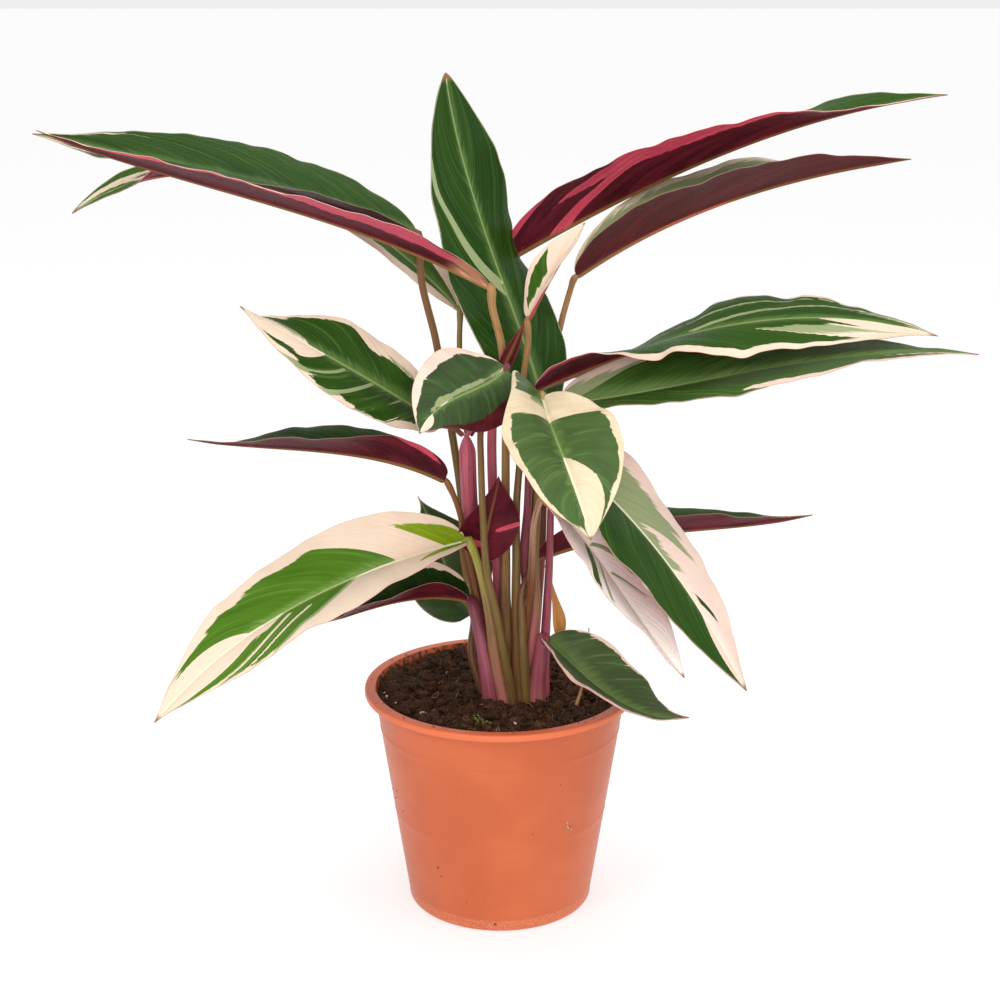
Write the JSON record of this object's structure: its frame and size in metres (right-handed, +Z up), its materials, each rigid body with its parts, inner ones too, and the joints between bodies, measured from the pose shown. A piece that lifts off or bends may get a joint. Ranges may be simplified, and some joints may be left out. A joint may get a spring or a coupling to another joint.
{
  "type": "potted stromanthe",
  "caption": "Bushy tricolour stromanthe with long lance-shaped green, cream and burgundy leaves on slender stalks, rooted in a round terracotta-coloured plastic nursery pot.",
  "frame": {"origin": "centre of the pot's flat underside", "axes": "+Z up from the surface the pot stands on; -Y towards the side seen in front, +X to its right; the leaves spread mostly along X"},
  "size_m": [0.4862, 0.2044, 0.4554],
  "materials": {
    "pot": "satin moulded plastic, terracotta colour",
    "soil": "damp fibrous peat, lumpy",
    "leaf_green": "glossy green upper side, burgundy underside",
    "leaf_variegated": "glossy green, sage and cream upper side, burgundy and pink underside",
    "leaf_cream": "satin cream and pink with green flecks",
    "leaf_burgundy": "satin burgundy and crimson underside",
    "stalk": "satin olive to pinkish brown, finely streaked",
    "sheath": "satin crimson pink with pale streaks",
    "dry_sheath": "dry papery tan"
  },
  "bodies": {
    "root": {"pot": "pot", "soil": "soil", "leaf_left_top": "leaf_green", "leaf_left_second": "leaf_burgundy", "leaf_left_rear": "leaf_green", "leaf_upright": "leaf_green", "leaf_right_top": "leaf_burgundy", "leaf_right_second": "leaf_burgundy", "leaf_small_cream": "leaf_cream", "leaf_right_third": "leaf_variegated", "leaf_right_fourth": "leaf_green", "leaf_left_cream": "leaf_variegated", "leaf_left_near": "leaf_variegated", "leaf_front": "leaf_variegated", "leaf_front_long": "leaf_cream", "leaf_front_pale": "leaf_cream", "leaf_right_low": "leaf_green", "leaf_left_burgundy": "leaf_burgundy", "leaf_left_large": "leaf_green", "leaf_left_low": "leaf_green", "leaf_rear_low": "leaf_green", "leaf_over_rim": "leaf_green", "leaf_young_burgundy": "leaf_burgundy", "leaf_rolled_young": "leaf_burgundy", "dry_leaf": "dry_sheath", "stalk_left_low": "stalk", "stalk_rear_low": "stalk", "stalk_left_top": "stalk", "stalk_left_burgundy": "stalk", "stalk_young_burgundy": "stalk", "stalk_left_large": "stalk", "stalk_front_long": "stalk", "stem_left": "sheath", "stalk_left_second": "stalk", "stalk_right_top": "stalk", "stalk_small_cream": "stalk", "stalk_upright": "stalk", "stalk_front_pale": "stalk", "stalk_right_low": "stalk", "stalk_front": "stalk", "stalk_right_second": "stalk", "stalk_right_third": "stalk", "stalk_over_rim": "stalk", "stalk_right_fourth": "stalk", "old_stalk": "dry_sheath", "stalk_left_rear": "stalk", "stalk_left_cream": "stalk", "stalk_left_near": "stalk", "stalk_rolled_young": "stalk"}
  },
  "joints": []
}
